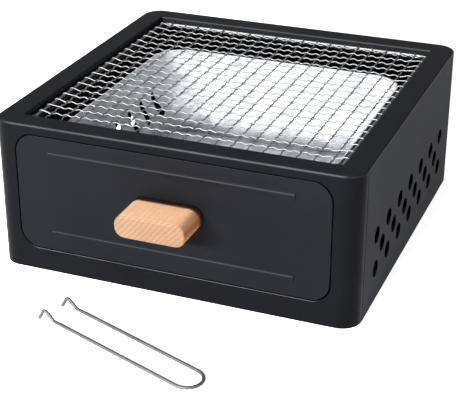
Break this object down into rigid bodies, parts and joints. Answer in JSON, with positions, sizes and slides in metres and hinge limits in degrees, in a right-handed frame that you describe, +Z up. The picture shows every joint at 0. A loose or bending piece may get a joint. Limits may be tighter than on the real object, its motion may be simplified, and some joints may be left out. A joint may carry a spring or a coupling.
{
  "type": "table-top charcoal grill",
  "caption": "Square table-top hibachi grill: black steel housing with side vents, slide-out coal drawer with wooden handle, woven wire net and wire net lifter.",
  "frame": {"origin": "middle of the housing's flat underside, on the table", "axes": "+Z up, +X to the right as the drawer is faced, and the drawer opens towards -Y"},
  "size_m": [0.28, 0.3889, 0.117],
  "materials": {
    "coat": "satin black heat-resistant powder coat on sheet steel",
    "zinc": "bright galvanised sheet with a soft spangle",
    "wire": "bright drawn steel wire",
    "fastener": "zinc-plated steel",
    "beech": "sanded and oiled beech"
  },
  "bodies": {
    "housing": {"front_panel": "coat", "rear_shell": "coat", "top_frame": "coat", "net_ledge": "coat", "bottom_plate": "coat", "left_seam_strip": "coat", "right_seam_strip": "coat", "left_runner": "coat", "right_runner": "coat", "runner_rivets": "fastener", "left_stop": "fastener", "right_stop": "fastener"},
    "drawer": {"drawer_front": "coat", "handle": "beech", "handle_screws": "fastener", "handle_washers": "fastener", "charcoal_pan": "zinc", "pan_studs": "fastener", "pan_spacers": "fastener", "pan_nuts": "fastener", "pan_stop_rivets": "fastener"},
    "net": {"net_long_wires": "wire", "net_cross_wires": "wire", "net_border": "wire"},
    "lifter": {"net_lifter": "wire"}
  },
  "joints": [
    {"name": "drawer_slide", "type": "slide", "parent": "housing", "child": "drawer", "axis": [0, -1, 0], "range_m": [0, 0.181]},
    {"name": "net_lift", "type": "slide", "parent": "housing", "child": "net", "axis": [0, 0, 1], "range_m": [0, 0.06]},
    {"name": "lifter_pick_up", "type": "slide", "parent": "housing", "child": "lifter", "axis": [0, 0, 1], "range_m": [0, 0.12]}
  ]
}
